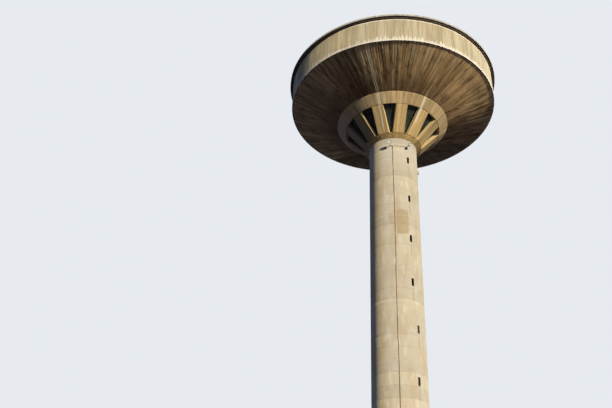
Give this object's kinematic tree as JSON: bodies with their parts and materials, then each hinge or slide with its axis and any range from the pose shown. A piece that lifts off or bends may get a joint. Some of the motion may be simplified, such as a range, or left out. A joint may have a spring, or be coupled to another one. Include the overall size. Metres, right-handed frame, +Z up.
{
  "type": "concrete water tower, 1:10 scale model",
  "caption": "Concrete water tower, 1:10 scale model: a round hollow shaft with slot windows, an open crown of raking struts with glazing, and a shallow conical tank with band, cornice and roof.",
  "frame": {"origin": "centre of the shaft's foot, at ground level", "axes": "+Z up; -Y is the front, the side with the door and the line of slots; +X is to the right seen from the front"},
  "size_m": [2.0586, 2.0586, 5.2543],
  "materials": {
    "shaft_concrete": "pale board-marked concrete with fine pour lines and water stains",
    "crown_concrete": "golden-brown board-marked concrete",
    "cone_concrete": "dark brown concrete with radial streaks of lime and rust",
    "band_concrete": "weathered tan concrete with vertical stains and lime edges",
    "edge_concrete": "pale grey rendered edge",
    "roof_concrete": "grey screeded roof",
    "inner_concrete": "plain grey concrete indoors",
    "glazing": "dark old glass in steel bars",
    "dark_metal": "dark weathered paint",
    "pale_metal": "pale weathered paint",
    "door_metal": "grey-green door paint"
  },
  "bodies": {
    "root": {"shaft_lift_1": "shaft_concrete", "shaft_lift_2": "shaft_concrete", "shaft_lift_3": "shaft_concrete", "shaft_lift_4": "shaft_concrete", "shaft_lift_5": "shaft_concrete", "ground_floor": "inner_concrete", "door_frame": "door_metal", "door_leaf": "door_metal", "crown_collar": "crown_concrete", "chamber_floor": "inner_concrete", "crown_strut_1": "crown_concrete", "crown_strut_2": "crown_concrete", "crown_strut_3": "crown_concrete", "crown_strut_4": "crown_concrete", "crown_strut_5": "crown_concrete", "crown_strut_6": "crown_concrete", "crown_strut_7": "crown_concrete", "crown_strut_8": "crown_concrete", "crown_strut_9": "crown_concrete", "crown_strut_10": "crown_concrete", "crown_strut_11": "crown_concrete", "crown_strut_12": "crown_concrete", "crown_pane_1": "glazing", "crown_pane_2": "glazing", "crown_pane_3": "glazing", "crown_pane_4": "glazing", "crown_pane_5": "glazing", "crown_pane_6": "glazing", "crown_pane_7": "glazing", "crown_pane_8": "glazing", "crown_pane_9": "glazing", "crown_pane_10": "glazing", "crown_pane_11": "glazing", "crown_pane_12": "glazing", "ring_beam": "crown_concrete", "tank_floor": "inner_concrete", "tank_cone": "cone_concrete", "tank_band": "band_concrete", "cornice": "edge_concrete", "roof": "roof_concrete", "roof_vent": "pale_metal", "roof_hatch": "roof_concrete", "left_floodlight": "dark_metal", "right_floodlight": "dark_metal", "lamp_conduit": "dark_metal", "side_box": "pale_metal"}
  },
  "joints": []
}
